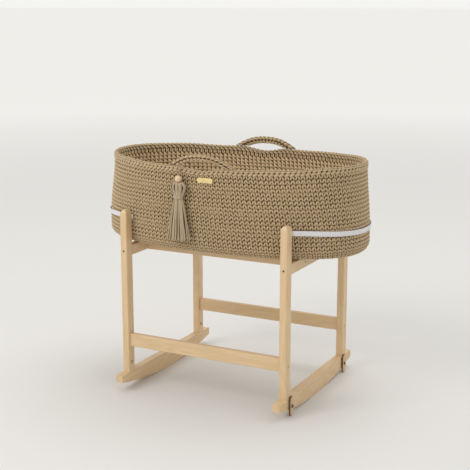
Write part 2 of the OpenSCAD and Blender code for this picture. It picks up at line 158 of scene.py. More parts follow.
# Mattress sizes; its voxel and its swell are metres
PAD_Z = 13.6
PAD_THICK = 38.0
PAD_HALF = 361.0
PAD_SIDE = 193.0
PAD_EDGE = 10.0
PAD_AROUND = 160
PAD_VOXEL = 0.0058
PAD_PRESSURE = 4.0
PAD_FRAMES = 20
PAD_SWELL = 0.0045
PIPE_R = 2.1
PIPE_IN = 0.4

# Stage
FLOOR_HALF = 300.0
# Distances between which the floor is painted lighter and glowing
FLOOR_NEAR = 0.8
FLOOR_FAR = 8.0
CAMERA_LENS = 79.84
CAMERA_PLACE = (1.3483, -2.6456, 1.0962)
CAMERA_AIM = (-0.44543, 0.86892, -0.21578)


# ---------- Shapes as functions ----------


def oval(ends, b, angle):
    """x = a cos^(2/p), y = b sin^(2/p), with signs kept: a squarish oval of half width b, with its own half
    length a at each end."""
    c, s = np.cos(angle), np.sin(angle)
    return (
        np.where(c < 0, ends[1], ends[0]) * np.sign(c) * np.abs(c) ** (2 / OVAL_POWER),
        b * np.sign(s) * np.abs(s) ** (2 / OVAL_POWER),
    )


def even_round(ends, b):
    """Gives the function from a share of the way round an oval to its angle, by running length."""
    angle = np.linspace(0, 2 * np.pi, 4001)
    x, y = oval(ends, b, angle)
    run = np.concatenate([[0], np.cumsum(np.hypot(np.diff(x), np.diff(y)))])
    return lambda share: np.interp(share % 1.0, run / run[-1], angle)


def oval_length(ends, b):
    """Running length of an oval, by short chords."""
    x, y = oval(ends, b, np.linspace(0, 2 * np.pi, 721))
    return np.hypot(np.diff(x), np.diff(y)).sum()


def half_axes(h):
    """Half lengths to the right and left end, and half width, of the wall at height h: the ends swell low
    down by a half cosine, and the sides flare upwards."""
    t = np.clip((h - FOOT_H) / (BASKET_H - FOOT_H), 0, None)
    swell = np.where(t < BELLY_LOW, 1, (1 + np.cos(np.pi * (t - BELLY_LOW) / (1 - BELLY_LOW))) / 2)
    ends = np.stack([RIM_HALF + BELLY_RIGHT * swell, RIM_HALF + BELLY_LEFT * swell])
    return ends, SIDE_HALF + SIDE_FLARE * t


def plan_normal(x, y, ends, b):
    """Outward direction of the oval in plan: the gradient of |x/a|^p + |y/b|^p."""
    a = np.where(x < 0, ends[1], ends[0])
    nx = np.sign(x) * np.abs(x / a) ** (OVAL_POWER - 1) / a
    ny = np.sign(y) * np.abs(y / b) ** (OVAL_POWER - 1) / b
    size = np.hypot(nx, ny)
    return nx / size, ny / size


def lift(x, y, h):
    """Height above the floor: the ends rise with x squared, the rim dips by a cosine squared under each
    handle, and the rows wander by a millimetre."""
    wander = 0.9 * np.sin(x / 47.0 + h / 31.0) + 0.6 * np.sin(x / 23.0 - h / 19.0)
    from_handle = np.abs(x - np.where(y < 0, HANDLE_FRONT, HANDLE_BACK))
    r = np.minimum(from_handle / (SLOT_SPAN / 2 + DIP_PAST), 1)
    near_rim = np.clip((h - BASKET_H + DIP_DEEP) / DIP_DEEP, 0, None) ** 1.5
    dip = SLOT_DIP * np.cos(np.pi / 2 * r) ** 2 * near_rim
    wandering = wander * np.clip(h - WANDER_FROM, 0, WANDER_OVER) / WANDER_OVER
    return BASKET_Z + h + (RIM_RISE * (x / RIM_HALF) ** 2 + wandering) * h / BASKET_H - dip


def wall(share, climb, out, even):
    """Basket wall: share of the way round; climb runs up a quarter-ellipse foot and then straight up,
    and below zero it runs in under the base; out is along the normal."""
    turn = np.clip(climb / FOOT_RUN, 0, 1) * np.pi / 2
    h = np.where(climb < FOOT_RUN, FOOT_H * (1 - np.cos(turn)), FOOT_H + climb - FOOT_RUN)
    tuck = 1 - np.sin(turn)
    under = np.maximum(-climb, 0)
    ends, b = half_axes(h)
    ends = ends - END_FOOT * tuck - under
    b = b - SIDE_FOOT * tuck - under
    x, y = oval(ends, b, even(share))
    nx, ny = plan_normal(x, y, ends, b)
    level = np.sin(turn)
    z = lift(x, y, h)
    return np.stack([x + nx * level * out, y + ny * level * out, z - np.cos(turn) * out], -1)


# Rim section: up the outer face, over the top and down the inner face, with rounded top corners
corner = np.linspace(0, np.pi / 2, 9)
rim_out = (WALL_T - RIM_T) / 2
rim_in = rim_out + RIM_T
leaving, nearing = RIM_R * (1 - np.cos(corner)), RIM_R * (1 - np.sin(corner))
rim_d = np.concatenate([[rim_out], rim_out + leaving, rim_in - nearing, [rim_in]])
rim_h = BASKET_H - np.concatenate([[RIM_H], nearing, leaving, [RIM_H]])
rim_turn = np.concatenate([[0], corner, np.pi / 2 + corner, [np.pi]])
rim_run = np.concatenate([[0], np.cumsum(np.hypot(np.diff(rim_d), np.diff(rim_h)))])


def rim(share, round_, out, even):
    """Rim band: share of the way round, round_ along the band's section, out along the section's normal."""
    d = np.interp(round_, rim_run, rim_d)
    h = np.interp(round_, rim_run, rim_h) + np.minimum(round_, 0) + np.minimum(rim_run[-1] - round_, 0)
    turn = np.interp(round_, rim_run, rim_turn)
    ends, b = half_axes(h)
    x, y = oval(ends - d, b - d, even(share))
    nx, ny = plan_normal(x, y, ends, b)
    side = np.cos(turn) * out
    return np.stack([x + nx * side, y + ny * side, lift(x, y, h) + np.sin(turn) * out], -1)


def arch(u, height, power, ease):
    """Height of an arch: height (1 - |2u|^power)^ease, with u from -1/2 to 1/2."""
    return height * (1 - np.minimum(np.abs(2 * u), 1) ** power) ** ease


def handle(facing, middle, slot_span, slot_h):
    """Handle on one side: the band runs between an outer and an inner arch over the rim, and follows the rim
    in plan."""

    def surface(share, round_, out, even):
        """share runs along the band; round_ runs in millimetres round its section, from the outer face."""
        u = np.clip(share, 0, 1) - 0.5
        xo, xi = HANDLE_SPAN * u, slot_span * u
        a, b = RIM_HALF, SIDE_HALF + SIDE_FLARE
        zo = arch(u, HANDLE_RISE, ARCH_POWER, ARCH_EASE)
        zi = arch(u, slot_h, ARCH_POWER, 1.0)
        cx, cz = (xo + xi) / 2, (zo + zi) / 2
        vx, vz = xo - xi, zo - zi
        half = np.hypot(vx, vz) / 2
        vx, vz = vx / (2 * half), vz / (2 * half)
        turn = round_ / HANDLE_R
        c, s = np.cos(turn), np.sin(turn)
        flat = np.sign(c) * np.abs(c) ** HANDLE_POWER * (HANDLE_HALF_T + np.maximum(out, HANDLE_SINK))
        tall = np.sign(s) * np.abs(s) ** HANDLE_POWER * (half + np.maximum(out, HANDLE_LEAST - half))
        x = middle + facing * (cx + vx * tall)
        y = b * (1 - np.abs(x / a) ** OVAL_POWER) ** (1 / OVAL_POWER) - WALL_T / 2 + flat
        z = BASKET_Z + BASKET_H + RIM_RISE * (x / a) ** 2 + cz + vz * tall
        return np.stack([x, -facing * y, z], -1)

    return surface


def along(t, knots, values):
    """Catmull-Rom curve through values at knots, worked out for every t at once."""
    knots, values = np.asarray(knots, float), np.asarray(values, float)
    slope = np.gradient(values, knots, axis=0)
    k = np.clip(np.searchsorted(knots, t, side="right") - 1, 0, len(knots) - 2)
    gap = knots[k + 1] - knots[k]
    s = (t - knots[k]) / gap
    if values.ndim > 1:
        s, gap = s[..., None], gap[..., None]
    return (
        values[k] * (1 + 2 * s) * (1 - s) ** 2
        + slope[k] * gap * s * (1 - s) ** 2
        + values[k + 1] * s * s * (3 - 2 * s)
        - slope[k + 1] * gap * s * s * (1 - s)
    )


# ---------- Mesh building ----------


def tube_faces(rings, sides, closed=False):
    """Quads of a tube of rings, with its two ends closed, and each corner's (round, along) pair."""
    k = np.arange(rings if closed else rings - 1)[:, None]
    j = np.arange(sides)[None, :]
    step = (k + 1) % rings
    turn = (j + 1) % sides
    quads = np.stack([k * sides + j, step * sides + j, step * sides + turn, k * sides + turn], -1)
    quads = quads.reshape(-1, 4)
    r0, r1 = j / sides, (j + 1) / sides
    around = np.stack([r0 + 0 * k, r0 + 0 * k, r1 + 0 * k, r1 + 0 * k], -1).reshape(-1, 4)
    ahead = np.stack([k + 0 * j, k + 1 + 0 * j, k + 1 + 0 * j, k + 0 * j], -1).reshape(-1, 4)
    corners = np.stack([around, ahead / max(rings - 1, 1)], -1)
    if not closed:
        fan = np.array([[0, i, i + 1, i + 2] for i in range(1, sides - 2, 2)])
        last = (rings - 1) * sides + fan[:, ::-1]
        quads = np.concatenate([quads, fan, last])
        corners = np.concatenate([corners, np.zeros((2 * len(fan), 4, 2))])
    return quads, corners


def strand(path, wide, thick, sides=6):
    """One strand of a stitch about a path of (x, y, out): an oval section, wide in the surface and thick
    through it."""
    path = np.asarray(path, float)
    ahead = np.gradient(path, axis=0)
    ahead /= np.linalg.norm(ahead[:, :2], axis=1, keepdims=True) + 1e-9
    side = np.stack([ahead[:, 1], -ahead[:, 0], 0 * ahead[:, 0]], -1)
    turn = 2 * np.pi * np.arange(sides) / sides
    wide, thick = np.asarray(wide)[:, None, None] / 2, np.asarray(thick)[:, None, None] / 2
    ring = side[:, None, :] * wide * np.cos(turn)[None, :, None]
    ring = ring + np.array([0, 0, 1.0]) * thick * np.sin(turn)[None, :, None]
    points = (path[:, None, :] + ring).reshape(-1, 3)
    return (points,) + tube_faces(len(path), sides)


def joined(parts):
    """Several strands as one stitch shape."""
    points, faces, corners, start = [], [], [], 0
    for p, f, c in parts:
        points.append(p)
        faces.append(f + start)
        corners.append(c)
        start += len(p)
    return np.concatenate(points), np.concatenate(faces), np.concatenate(corners)


def ribbons(paths, facing, wide, thick, sides=8):
    """Strands in space, all at once: paths is (strands, rings, 3), and facing is the direction that their
    broad side looks in."""
    ahead = np.gradient(paths, axis=1)
    ahead /= np.linalg.norm(ahead, axis=2, keepdims=True)
    side = np.cross(ahead, facing)
    side /= np.linalg.norm(side, axis=2, keepdims=True)
    front = np.cross(side, ahead)
    turn = 2 * np.pi * np.arange(sides) / sides
    wide = np.broadcast_to(np.asarray(wide, float), paths.shape[:2])[:, :, None, None] / 2
    thick = np.broadcast_to(np.asarray(thick, float), paths.shape[:2])[:, :, None, None] / 2
    across = side[:, :, None] * wide * np.cos(turn)[:, None]
    through = front[:, :, None] * thick * np.sin(turn)[:, None]
    points = paths[:, :, None] + across + through
    quads, corners = tube_faces(paths.shape[1], sides)
    count, per = paths.shape[0], paths.shape[1] * sides
    faces = (quads[None] + per * np.arange(count)[:, None, None]).reshape(-1, 4)
    return points.reshape(-1, 3), faces, np.tile(corners, (count, 1, 1))


def put(name, shape, material, body, stands_for=()):
    """Makes the mesh from points in millimetres, four-cornered faces and their corner pairs, and gives it to
    a body. stands_for names the nodes that it takes the place of."""
    points, faces, corners = shape
    mesh = bpy.data.meshes.new(name)
    mesh.vertices.add(len(points))
    mesh.vertices.foreach_set("co", (points * MM).astype(np.float32).ravel())
    mesh.loops.add(faces.size)
    mesh.loops.foreach_set("vertex_index", faces.astype(np.int32).ravel())
    mesh.polygons.add(len(faces))
    mesh.polygons.foreach_set("loop_start", np.arange(0, faces.size, 4, dtype=np.int32))
    mesh.update(calc_edges=True)
    mesh.polygons.foreach_set("use_smooth", np.ones(len(faces), bool))
    layer = mesh.uv_layers.new(name="strand")
    layer.data.foreach_set("uv", corners.astype(np.float32).ravel())
    mesh.materials.append(material)
    mesh.validate()
    piece = bpy.data.objects.new(name, mesh)
    bpy.context.scene.collection.objects.link(piece)
    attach(piece, body)
    if stands_for:
        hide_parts(*stands_for)
    return piece


def lay(surface, rows, stitch, inward=0.0):
    """Copies a stitch along rows. A row is (stitches, climb, slide, even): the point (x, y, out) of stitch i
    goes to share (i + slide + x / gauge) / stitches, climb + y and out, with a small wander. With inward
    set, it faces the other side of the wall."""
    shape, faces, corners = stitch
    points, quads, count_all = [], [], 0
    for count, climb, slide, even in rows:
        wander = RNG.normal(0, 1, (3, count, 1))
        share = (np.arange(count)[:, None] + slide + (shape[:, 0] + 0.25 * wander[0]) / STITCH) / count
        up = climb + shape[:, 1] + 0.25 * wander[1]
        out = shape[:, 2] - 0.15 * np.abs(wander[2])
        points.append(surface(share, up, -inward - out if inward else out, even).reshape(-1, 3))
        start = len(shape) * (count_all + np.arange(count))[:, None, None]
        quads.append((faces[None] + start).reshape(-1, 4))
        count_all += count
    quads = np.concatenate(quads)
    corners = np.tile(corners, (count_all, 1, 1))
    if inward:
        quads, corners = quads[:, ::-1], corners[:, ::-1]
    return np.concatenate(points), quads, corners


def sheet_grid(surface, rounds, climbs, outs, even):
    """A closed skin: rings of points at each (climb, out), joined in a loop back to the first."""
    share = np.arange(rounds) / rounds
    rings = surface(share[None, :], climbs[:, None], outs[:, None], even)
    quads, corners = tube_faces(len(climbs), rounds, closed=True)
    return rings.reshape(-1, 3), quads, corners


# ---------- Materials ----------


def group(name, inputs, outputs):
    """An empty shader group with its named sockets."""
    tree = bpy.data.node_groups.new(name, "ShaderNodeTree")
    for label, kind, value in inputs:
        socket = tree.interface.new_socket(label, in_out="INPUT", socket_type="NodeSocket" + kind)
        if value is not None:
            socket.default_value = value
    for label, kind in outputs:
        tree.interface.new_socket(label, in_out="OUTPUT", socket_type="NodeSocket" + kind)
    return tree, tree.nodes.new("NodeGroupInput"), tree.nodes.new("NodeGroupOutput")


def math_node(tree, operation, a, b=None, clamp=False):
    """A Math node; a and b are sockets or numbers."""
    node = tree.nodes.new("ShaderNodeMath")
    node.operation = operation
    node.use_clamp = clamp
    for i, v in enumerate((a, b)):
        if v is None:
            continue
        if isinstance(v, (int, float)):
            node.inputs[i].default_value = v
        else:
            tree.links.new(v, node.inputs[i])
    return node.outputs[0]


def times(tree, a, b):
    """A product."""
    return math_node(tree, "MULTIPLY", a, b)


def sine(tree, turns):
    """The sine of a number of whole turns."""
    return math_node(tree, "SINE", times(tree, turns, 2 * math.pi))


def weighted(tree, *terms):
    """The sum of (value, weight) terms, none of them below zero, held to 1."""
    total = times(tree, *terms[0])
    for value, weight in terms[1:]:
        total = math_node(tree, "ADD", total, times(tree, value, weight), clamp=True)
    return total


def mix_colour(tree, share, a, b):
    """A colour Mix node; share is a socket or number, a and b sockets or colours."""
    node = tree.nodes.new("ShaderNodeMix")
    node.data_type = "RGBA"
    for i, v in ((0, share), (6, a), (7, b)):
        if isinstance(v, bpy.types.NodeSocket):
            tree.links.new(v, node.inputs[i])
        else:
            node.inputs[i].default_value = v if i == 0 else (*v, 1.0)
    return node.outputs[2]


def noise(tree, vector, scale, detail=3.0, rough=0.55):
    """A Noise texture's value at a scale."""
    node = tree.nodes.new("ShaderNodeTexNoise")
    node.inputs["Scale"].default_value = scale
    node.inputs["Detail"].default_value = detail
    node.inputs["Roughness"].default_value = rough
    tree.links.new(vector, node.inputs["Vector"])
    return node.outputs["Fac"]


def spread(tree, value, low, high, to_low=0.0, to_high=1.0):
    """A clamped Map Range."""
    node = tree.nodes.new("ShaderNodeMapRange")
    tree.links.new(value, node.inputs["Value"])
    for label, v in (("From Min", low), ("From Max", high), ("To Min", to_low), ("To Max", to_high)):
        node.inputs[label].default_value = v
    return node.outputs["Result"]


def mapped(tree, vector, scale, turn=(0, 0, 0)):
    """A Mapping node on a vector."""
    node = tree.nodes.new("ShaderNodeMapping")
    node.inputs["Scale"].default_value = scale
    node.inputs["Rotation"].default_value = turn
    tree.links.new(vector, node.inputs["Vector"])
    return node.outputs["Vector"]


def grain_group():
    """Timber: long growth streaks along the local Z axis, fine pores and slow tone changes."""
    tree, put_in, put_out = group(
        "wood grain",
        [
            ("Vector", "Vector", None),
            ("Light", "Color", (0.7, 0.5, 0.3, 1)),
            ("Dark", "Color", (0.5, 0.3, 0.15, 1)),
        ],
        [("Color", "Color"), ("Roughness", "Float"), ("Height", "Float")],
    )
    vector = put_in.outputs["Vector"]
    bend = noise(tree, mapped(tree, vector, (9, 9, 2.0)), 1.0, 2)
    streak = noise(tree, mapped(tree, vector, (170, 170, 4.5)), 1.0, 4, 0.6)
    pores = noise(tree, mapped(tree, vector, (900, 900, 45)), 1.0, 2)
    bent = math_node(tree, "ADD", bend, times(tree, streak, 0.12))
    rings = spread(tree, math_node(tree, "SINE", times(tree, bent, 75.0)), -1, 1)
    fine, pore = spread(tree, streak, 0.3, 0.7), spread(tree, pores, 0.56, 0.75)
    tone = weighted(tree, (rings, 0.38), (fine, 0.5), (pore, 0.35))
    shown = mix_colour(tree, tone, put_in.outputs["Light"], put_in.outputs["Dark"])
    tree.links.new(shown, put_out.inputs["Color"])
    tree.links.new(spread(tree, tone, 0, 1, 0.42, 0.60), put_out.inputs["Roughness"])
    tree.links.new(math_node(tree, "SUBTRACT", 1.0, tone), put_out.inputs["Height"])
    return tree


def yarn_group():
    """Cotton cord: plies wound round the strand from its own (round, along) pair, loose fibres, and painted
    shade: a dark colour mixed in down its sides and where its ends are tucked in, for the shade in the
    crevices between strands."""
    tree, put_in, put_out = group(
        "yarn plies",
        [
            ("Pair", "Vector", None),
            ("Place", "Vector", None),
            ("Plies", "Float", 4.0),
            ("Turns", "Float", 3.0),
            ("Light", "Color", (0.4, 0.3, 0.2, 1)),
            ("Dark", "Color", (0.2, 0.14, 0.08, 1)),
            ("Painted shade", "Color", (0.05, 0.03, 0.015, 1)),
            ("Side shade", "Float", 0.8),
            ("End shade", "Float", 0.8),
        ],
        [("Color", "Color"), ("Roughness", "Float"), ("Height", "Float")],
    )
    split = tree.nodes.new("ShaderNodeSeparateXYZ")
    tree.links.new(put_in.outputs["Pair"], split.inputs[0])
    place = put_in.outputs["Place"]
    # Painted shade: the strand's sides, turned away from its face, and its tucked-in ends are mixed towards
    # the dark shade colour
    side_shade = spread(tree, sine(tree, split.outputs[0]), -0.4, 0.8, 1.0, 0.0)
    to_end = math_node(tree, "SUBTRACT", 1.0, split.outputs[1])
    near_end = math_node(tree, "MINIMUM", split.outputs[1], to_end)
    end_shade = spread(tree, near_end, 0.04, 0.27, 1.0, 0.0)
    painted_shade = weighted(tree, (side_shade, put_in.outputs["Side shade"]), (end_shade, put_in.outputs["End shade"]))
    crossed = times(tree, split.outputs[0], put_in.outputs["Plies"])
    wound = math_node(tree, "ADD", crossed, times(tree, split.outputs[1], put_in.outputs["Turns"]))
    ply = spread(tree, sine(tree, wound), -1, 1)
    fibre = noise(tree, place, 1400, 3)
    loose = spread(tree, fibre, 0.35, 0.65)
    slow = spread(tree, noise(tree, place, 11, 3), 0.35, 0.65)
    strand_tone = spread(tree, noise(tree, place, 95, 2), 0.3, 0.7)
    tone = weighted(tree, (ply, 0.45), (loose, 0.25), (slow, 0.15), (strand_tone, 0.25))
    open_colour = mix_colour(tree, tone, put_in.outputs["Dark"], put_in.outputs["Light"])
    # The painted shade is mixed into the cord's colour here
    tree.links.new(mix_colour(tree, painted_shade, open_colour, put_in.outputs["Painted shade"]), put_out.inputs["Color"])
    tree.links.new(spread(tree, fibre, 0.3, 0.7, 0.78, 0.95), put_out.inputs["Roughness"])
    tree.links.new(weighted(tree, (ply, 0.7), (fibre, 0.3)), put_out.inputs["Height"])
    return tree


def weave_group():
    """Cloth: threads over and under on a grid of the given count, with slubs."""
    tree, put_in, put_out = group(
        "thread weave",
        [
            ("Vector", "Vector", None),
            ("Light", "Color", (0.9, 0.9, 0.9, 1)),
            ("Dark", "Color", (0.6, 0.6, 0.6, 1)),
        ],
        [("Color", "Color"), ("Roughness", "Float"), ("Height", "Float")],
    )
    split = tree.nodes.new("ShaderNodeSeparateXYZ")
    tree.links.new(put_in.outputs["Vector"], split.inputs[0])
    check = spread(tree, times(tree, sine(tree, split.outputs[0]), sine(tree, split.outputs[1])), -1, 1)
    slub = noise(tree, put_in.outputs["Vector"], 0.35, 3)
    tone = weighted(tree, (check, 0.6), (spread(tree, slub, 0.3, 0.7), 0.4))
    shown = mix_colour(tree, tone, put_in.outputs["Dark"], put_in.outputs["Light"])
    tree.links.new(shown, put_out.inputs["Color"])
    tree.links.new(spread(tree, slub, 0.3, 0.7, 0.7, 0.9), put_out.inputs["Roughness"])
    tree.links.new(check, put_out.inputs["Height"])
    return tree


GRAIN, YARN, WEAVE = grain_group(), yarn_group(), weave_group()


def blank(name):
    """A material with its Principled BSDF, a Texture Coordinate node and nothing joined yet."""
    material = bpy.data.materials.new(name)
    material.use_nodes = True
    tree = material.node_tree
    shader = tree.nodes["Principled BSDF"]
    return material, tree, shader, tree.nodes.new("ShaderNodeTexCoord")


def use_group(tree, effect, values, links):
    """Places a group and sets its inputs from colours or sockets."""
    node = tree.nodes.new("ShaderNodeGroup")
    node.node_tree = effect
    for label, v in values.items():
        node.inputs[label].default_value = v
    for label, socket in links.items():
        tree.links.new(socket, node.inputs[label])
    return node


def bumped(tree, shader, height, distance, strength=0.7):
    """Joins a height to the shader's normal."""
    bump = tree.nodes.new("ShaderNodeBump")
    bump.inputs["Distance"].default_value = distance
    bump.inputs["Strength"].default_value = strength
    tree.links.new(height, bump.inputs["Height"])
    tree.links.new(bump.outputs["Normal"], shader.inputs["Normal"])


def paint(tree, shader, colour, roughness):
    """Joins a colour and a roughness to the shader."""
    tree.links.new(colour, shader.inputs["Base Color"])
    tree.links.new(roughness, shader.inputs["Roughness"])


def wood(name, axis, light, dark, coat=0.12):
    """Timber whose grain runs along a frame axis."""
    material, tree, shader, place = blank(name)
    turn = {"x": (0, math.pi / 2, 0), "y": (math.pi / 2, 0, 0), "z": (0, 0, 0)}[axis]
    vector = mapped(tree, place.outputs["Object"], (1, 1, 1), turn)
    grain = use_group(tree, GRAIN, {"Light": (*light, 1), "Dark": (*dark, 1)}, {"Vector": vector})
    paint(tree, shader, grain.outputs["Color"], grain.outputs["Roughness"])
    shader.inputs["Coat Weight"].default_value = coat
    shader.inputs["Coat Roughness"].default_value = 0.35
    bumped(tree, shader, grain.outputs["Height"], 0.0002, 0.5)
    return material


def yarn(name, light, dark, plies=4.0, turns=3.0, depth=0.0004, sides=0.75, ends=0.8):
    """Cotton cord with its plies; sides and ends say how much painted shade it gets down its sides and at
    its tucked ends.
    """
    material, tree, shader, place = blank(name)
    values = {
        "Light": (*light, 1),
        "Dark": (*dark, 1),
        # Colour of the painted shade, a deep fraction of the dark tone
        "Painted shade": (0.20 * dark[0], 0.145 * dark[1], 0.08 * dark[2], 1),
        "Plies": plies,
        "Turns": turns,
        "Side shade": sides,
        "End shade": ends,
    }
    cord = use_group(tree, YARN, values, {"Pair": place.outputs["UV"], "Place": place.outputs["Object"]})
    paint(tree, shader, cord.outputs["Color"], cord.outputs["Roughness"])
    shader.inputs["Sheen Weight"].default_value = 0.25
    shader.inputs["Sheen Roughness"].default_value = 0.5
    shader.inputs["Specular IOR Level"].default_value = 0.2
    bumped(tree, shader, cord.outputs["Height"], depth)
    return material


def cloth(name, light, dark, scale, from_pair=True, depth=0.0002):
    """Woven cloth; scale is threads per unit of the piece's own pair, or per metre."""
    material, tree, shader, place = blank(name)
    vector = mapped(tree, place.outputs["UV" if from_pair else "Object"], scale)
    weave = use_group(tree, WEAVE, {"Light": (*light, 1), "Dark": (*dark, 1)}, {"Vector": vector})
    paint(tree, shader, weave.outputs["Color"], weave.outputs["Roughness"])
    shader.inputs["Sheen Weight"].default_value = 0.2
    bumped(tree, shader, weave.outputs["Height"], depth)
    return material


def metal(name, colour, dark, roughness, scale):
    """Metal with fine brushed streaks and a few dull patches."""
    material, tree, shader, place = blank(name)
    streak = noise(tree, mapped(tree, place.outputs["Object"], scale), 1.0, 3)
    patch = noise(tree, place.outputs["Object"], 60, 3)
    shown = mix_colour(tree, spread(tree, patch, 0.4, 0.75), colour, dark)
    polish = spread(tree, streak, 0.3, 0.7, roughness - 0.08, roughness + 0.1)
    paint(tree, shader, shown, polish)
    shader.inputs["Metallic"].default_value = 1.0
    bumped(tree, shader, streak, 0.00005, 0.4)
    return material


PLY_PITCH = 0.0017


def plywood(name, face_light, face_dark, edge):
    """Thin plywood: grained faces, and cut edges darkened by the cutter with lighter plies showing."""
    material, tree, shader, place = blank(name)
    tones = {"Light": (*face_light, 1), "Dark": (*face_dark, 1)}
    grain = use_group(tree, GRAIN, tones, {"Vector": place.outputs["Object"]})
    split = tree.nodes.new("ShaderNodeSeparateXYZ")
    tree.links.new(place.outputs["Normal"], split.inputs[0])
    facing = spread(tree, math_node(tree, "ABSOLUTE", split.outputs[0]), 0.4, 0.8)
    layers = tree.nodes.new("ShaderNodeSeparateXYZ")
    tree.links.new(place.outputs["Object"], layers.inputs[0])
    plies = spread(tree, sine(tree, times(tree, layers.outputs[0], 1 / PLY_PITCH)), -1, 1, 0.0, 0.5)
    burnt = mix_colour(tree, plies, edge, tuple(2.2 * v for v in edge))
    shown = mix_colour(tree, facing, burnt, grain.outputs["Color"])
    paint(tree, shader, shown, grain.outputs["Roughness"])
    bumped(tree, shader, grain.outputs["Height"], 0.00015, 0.5)
    return material


def plain_board(name, light, dark):
    """Pressed fibreboard: small flecks."""
    material, tree, shader, place = blank(name)
    fleck = noise(tree, place.outputs["Object"], 420, 4)
    shown = mix_colour(tree, spread(tree, fleck, 0.35, 0.65), light, dark)
    paint(tree, shader, shown, spread(tree, fleck, 0.3, 0.7, 0.7, 0.9))
    bumped(tree, shader, fleck, 0.0001, 0.4)
    return material


TIMBER_LIGHT, TIMBER_DARK = (0.76, 0.565, 0.345), (0.66, 0.455, 0.24)
timber = {axis: wood("timber along " + axis, axis, TIMBER_LIGHT, TIMBER_DARK) for axis in "xyz"}
bead_wood = wood("bead wood", "z", (0.82, 0.63, 0.42), (0.68, 0.47, 0.28), 0.0)
stopper_ply = plywood("stopper plywood", (0.74, 0.53, 0.31), (0.55, 0.36, 0.19), (0.10, 0.05, 0.025))
steel = metal("zinc plated steel", (0.62, 0.62, 0.64), (0.42, 0.42, 0.44), 0.32, (900, 900, 60))
# Dark steel for the screw heads, as dark as the dots they show
dark_steel = metal("dark screw steel", (0.16, 0.14, 0.12), (0.09, 0.08, 0.07), 0.38, (900, 900, 60))
gilt = metal("satin gilt", (0.92, 0.74, 0.38), (0.70, 0.52, 0.24), 0.30, (60, 900, 900))
board = plain_board("fibreboard", (0.56, 0.40, 0.24), (0.38, 0.26, 0.15))
YARN_LIGHT, YARN_DARK = (0.66, 0.50, 0.295), (0.49, 0.355, 0.195)
# The sides and ends numbers set how much painted shade each cord gets down its sides and at its tucked ends
crochet = yarn("crochet cord", YARN_LIGHT, YARN_DARK, sides=0.85, ends=0.75)
lining = yarn("crochet cord, inner face", (0.74, 0.55, 0.335), (0.57, 0.41, 0.235), sides=0.3, ends=0.2)
crochet_rim = yarn("crochet cord of the rim", (0.61, 0.465, 0.28), (0.46, 0.335, 0.185), sides=0.6, ends=0.4)
# Dark colours of the core: painted shade for the holes between the stitches, with no side or end shade of
# its own
painted_shade_tones = (0.085, 0.05, 0.02), (0.06, 0.035, 0.014)
painted_shade_cord = yarn("crochet cord, painted shade core", *painted_shade_tones, 0.0, 0.0, sides=0.0, ends=0.0)
tassel_yarn = yarn("tassel cord", (0.52, 0.41, 0.27), (0.38, 0.29, 0.18), 6.0, 1.0, 0.0003, 0.75, 0.0)
webbing = cloth("strap webbing", (0.86, 0.84, 0.86), (0.62, 0.60, 0.63), (22, 320, 1))
thread = yarn("sewing thread", (0.80, 0.78, 0.80), (0.60, 0.58, 0.60), 2.0, 3.0, 0.0001, 0.3, 0.0)
linen = cloth("cotton cover", (0.86, 0.83, 0.77), (0.70, 0.67, 0.61), (900, 900, 900), False)
piping = cloth("cotton piping", (0.82, 0.79, 0.72), (0.62, 0.59, 0.53), (14, 600, 1))

for name, node in nodes.items():
    if name.startswith(("post_", "dowels")):
        finish = timber["z"]
    elif name.startswith(("cross_rail_l", "cross_rail_r", "rocker_left", "rocker_right")):
        finish = timber["y"]
    elif name in ("long_rail_front", "long_rail_back", "stretcher_front", "stretcher_back"):
        finish = timber["x"]
    elif name in ("stopper_front", "stopper_back"):
        finish = stopper_ply
    elif name.startswith("label"):
        finish = gilt
    elif name == "tassel_bead":
        finish = bead_wood
    elif name == "base_board":
        finish = board
    elif name.endswith("_screws"):
        finish = dark_steel
    else:
        finish = steel
    node.data.materials.clear()
    node.data.materials.append(finish)

# ---------- Crochet basket ----------

# A single crochet: two fat legs that rise from one hole and part to the next two columns
mirror = np.array([-1, 1, 1])
leg = np.array(
    [
        [1.6, -1.6, -6.4],
        [2.0, 1.2, -4.2],
        [3.1, 4.2, -2.9],
        [4.6, 7.2, -2.7],
        [5.4, 9.8, -3.5],
        [5.5, 12.2, -6.4],
    ]
)
leg_wide = np.array([4.2, 5.0, 5.5, 5.3, 4.7, 3.8])
leg_thick = np.array([3.4, 4.8, 5.5, 5.5, 4.8, 3.4])
vee = joined([strand(leg, leg_wide, leg_thick), strand(leg * mirror, leg_wide * 0.96, leg_thick)])

# Seen from inside: one long slanting bar over a short upright one
bar = [[-6.8, -1.5, -4.2], [-3.2, 1.6, -3.0], [1.8, 5.6, -2.7], [5.2, 9.4, -3.2], [6.6, 11.6, -4.2]]
post = [[6.0, -2.6, -4.3], [4.8, 0.6, -3.4], [3.6, 3.6, -3.0], [2.4, 6.0, -3.5], [1.4, 8.2, -4.3]]
long_bar = strand(bar, [4.6, 6.8, 7.4, 6.8, 4.6], [2.4, 4.6, 5.0, 4.6, 2.4])
short_bar = strand(post, [4.6, 6.2, 6.8, 6.2, 4.6], [2.4, 4.2, 4.6, 4.2, 2.4])
back_vee = joined([long_bar, short_bar])

# First inner row under the rim: upright legs with open holes between them
upright = [[4.2, -3.0, -4.2], [4.6, 0.5, -3.1], [4.4, 5.0, -2.8], [4.2, 9.0, -3.2], [4.0, 12.5, -4.2]]
upright_size = [3.2, 4.6, 5.0, 4.6, 3.2], [2.4, 4.4, 4.8, 4.4, 2.4]
fence = joined([strand(upright, *upright_size), strand(mirror * upright, *upright_size)])


def chain(slope, reach, wide):
    """One slanting strand of a chain row: it comes up from under its neighbour and dives under the next."""
    x = np.array([-8.6, -5.4, 0.0, 5.4, 8.6]) * reach
    path = np.stack([x, slope * x, np.array([-6.0, -3.3, -2.6, -3.3, -6.0])], -1)
    return joined([strand(path, np.array([3.2, 5.4, 6.0, 5.4, 3.2]) * wide, [3.2, 4.8, 5.2, 4.8, 3.2])])


